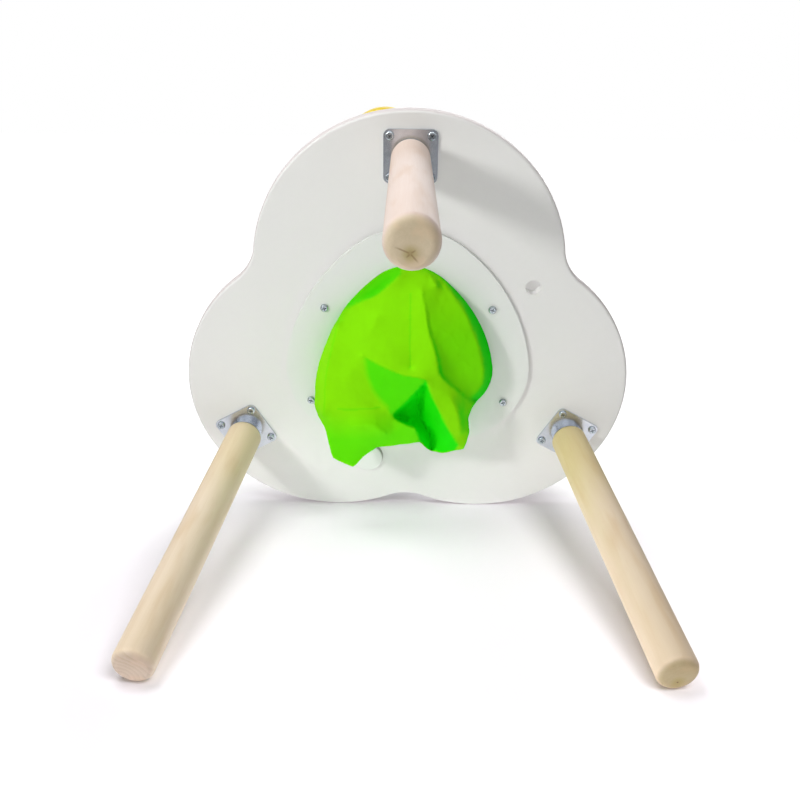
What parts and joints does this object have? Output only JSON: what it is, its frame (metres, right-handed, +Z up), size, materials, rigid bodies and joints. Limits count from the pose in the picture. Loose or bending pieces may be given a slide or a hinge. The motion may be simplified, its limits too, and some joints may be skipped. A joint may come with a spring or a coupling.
{
  "type": "baby activity table",
  "caption": "Baby activity table: clover-shaped white board on splayed round wooden legs, with a shape sorter over a lime catch bag, a spinner, meshing gears and a bead rail.",
  "frame": {"origin": "on the floor, below the middle of the whole table", "axes": "+Z up from the floor to the play surface, -Y to the front lobe and its leg, +X to the right"},
  "size_m": [0.4668, 0.4532, 0.3825],
  "materials": {
    "white_board": "white satin lacquer on fibreboard",
    "white_ring": "white satin lacquer on thin plywood",
    "bare_wood": "bare sanded pale hardwood",
    "green_cloth": "lime green spunbond cloth",
    "zinc": "bright zinc plate",
    "screw_steel": "bright zinc plate",
    "yellow_paint": "yellow gloss lacquer",
    "blue_paint": "pale blue satin lacquer",
    "green_paint": "green satin lacquer",
    "orange_paint": "orange satin lacquer",
    "turquoise_paint": "turquoise satin lacquer",
    "red_paint": "red satin lacquer"
  },
  "bodies": {
    "table": {"table_top": "white_board", "bag_ring": "white_ring", "catch_bag": "green_cloth", "ring_screws": "screw_steel", "leg_plate_front": "zinc", "leg_plate_left": "zinc", "leg_plate_right": "zinc", "plate_screws": "screw_steel", "leg_nuts": "zinc", "leg_bolts": "zinc", "leg_front": "bare_wood", "leg_left": "bare_wood", "leg_right": "bare_wood", "spinner_peg": "bare_wood", "spinner_cap": "bare_wood", "gear_pegs": "bare_wood", "gear_caps": "bare_wood", "rail_posts": "bare_wood", "rail_rod": "bare_wood"},
    "lid": {"sorter_lid": "blue_paint"},
    "spinner": {"spinner_disc": "yellow_paint"},
    "drive": {"drive_gear": "green_paint", "drive_axle": "bare_wood", "axle_cap": "white_ring", "drive_knob": "bare_wood"},
    "middle": {"middle_gear": "orange_paint"},
    "small": {"small_gear": "turquoise_paint"},
    "bead_l": {"bead_left": "red_paint"},
    "bead_m": {"bead_middle": "yellow_paint"},
    "bead_r": {"bead_right": "blue_paint"}
  },
  "joints": [
    {"name": "lid_lift", "type": "slide", "parent": "table", "child": "lid", "axis": [0, 0, 1], "range_m": [0, 0.06]},
    {"name": "spinner_turn", "type": "hinge", "parent": "table", "child": "spinner", "pos_m": [-0.023, -0.17267, 0.3438], "axis": [0, 0, 1], "continuous": true},
    {"name": "drive_turn", "type": "hinge", "parent": "table", "child": "drive", "pos_m": [-0.04264, 0.16114, 0.3438], "axis": [0, 0, 1], "continuous": true},
    {"name": "middle_turn", "type": "hinge", "parent": "table", "child": "middle", "pos_m": [-0.10203, 0.1347, 0.3438], "axis": [0, 0, 1], "continuous": true},
    {"name": "small_turn", "type": "hinge", "parent": "table", "child": "small", "pos_m": [-0.15177, 0.10114, 0.3438], "axis": [0, 0, 1], "continuous": true},
    {"name": "bead_left_slide", "type": "slide", "parent": "table", "child": "bead_l", "axis": [-0.5, 0.866, 0], "range_m": [-0.0097, 0.0097]},
    {"name": "bead_middle_slide", "type": "slide", "parent": "table", "child": "bead_m", "axis": [-0.5, 0.866, 0], "range_m": [-0.0097, 0.0097]},
    {"name": "bead_right_slide", "type": "slide", "parent": "table", "child": "bead_r", "axis": [-0.5, 0.866, 0], "range_m": [-0.0097, 0.0097]}
  ],
  "couplings": [
    {"joint": "middle_turn", "follows": "drive_turn", "ratio": -0.85714},
    {"joint": "small_turn", "follows": "drive_turn", "ratio": 1.2}
  ]
}
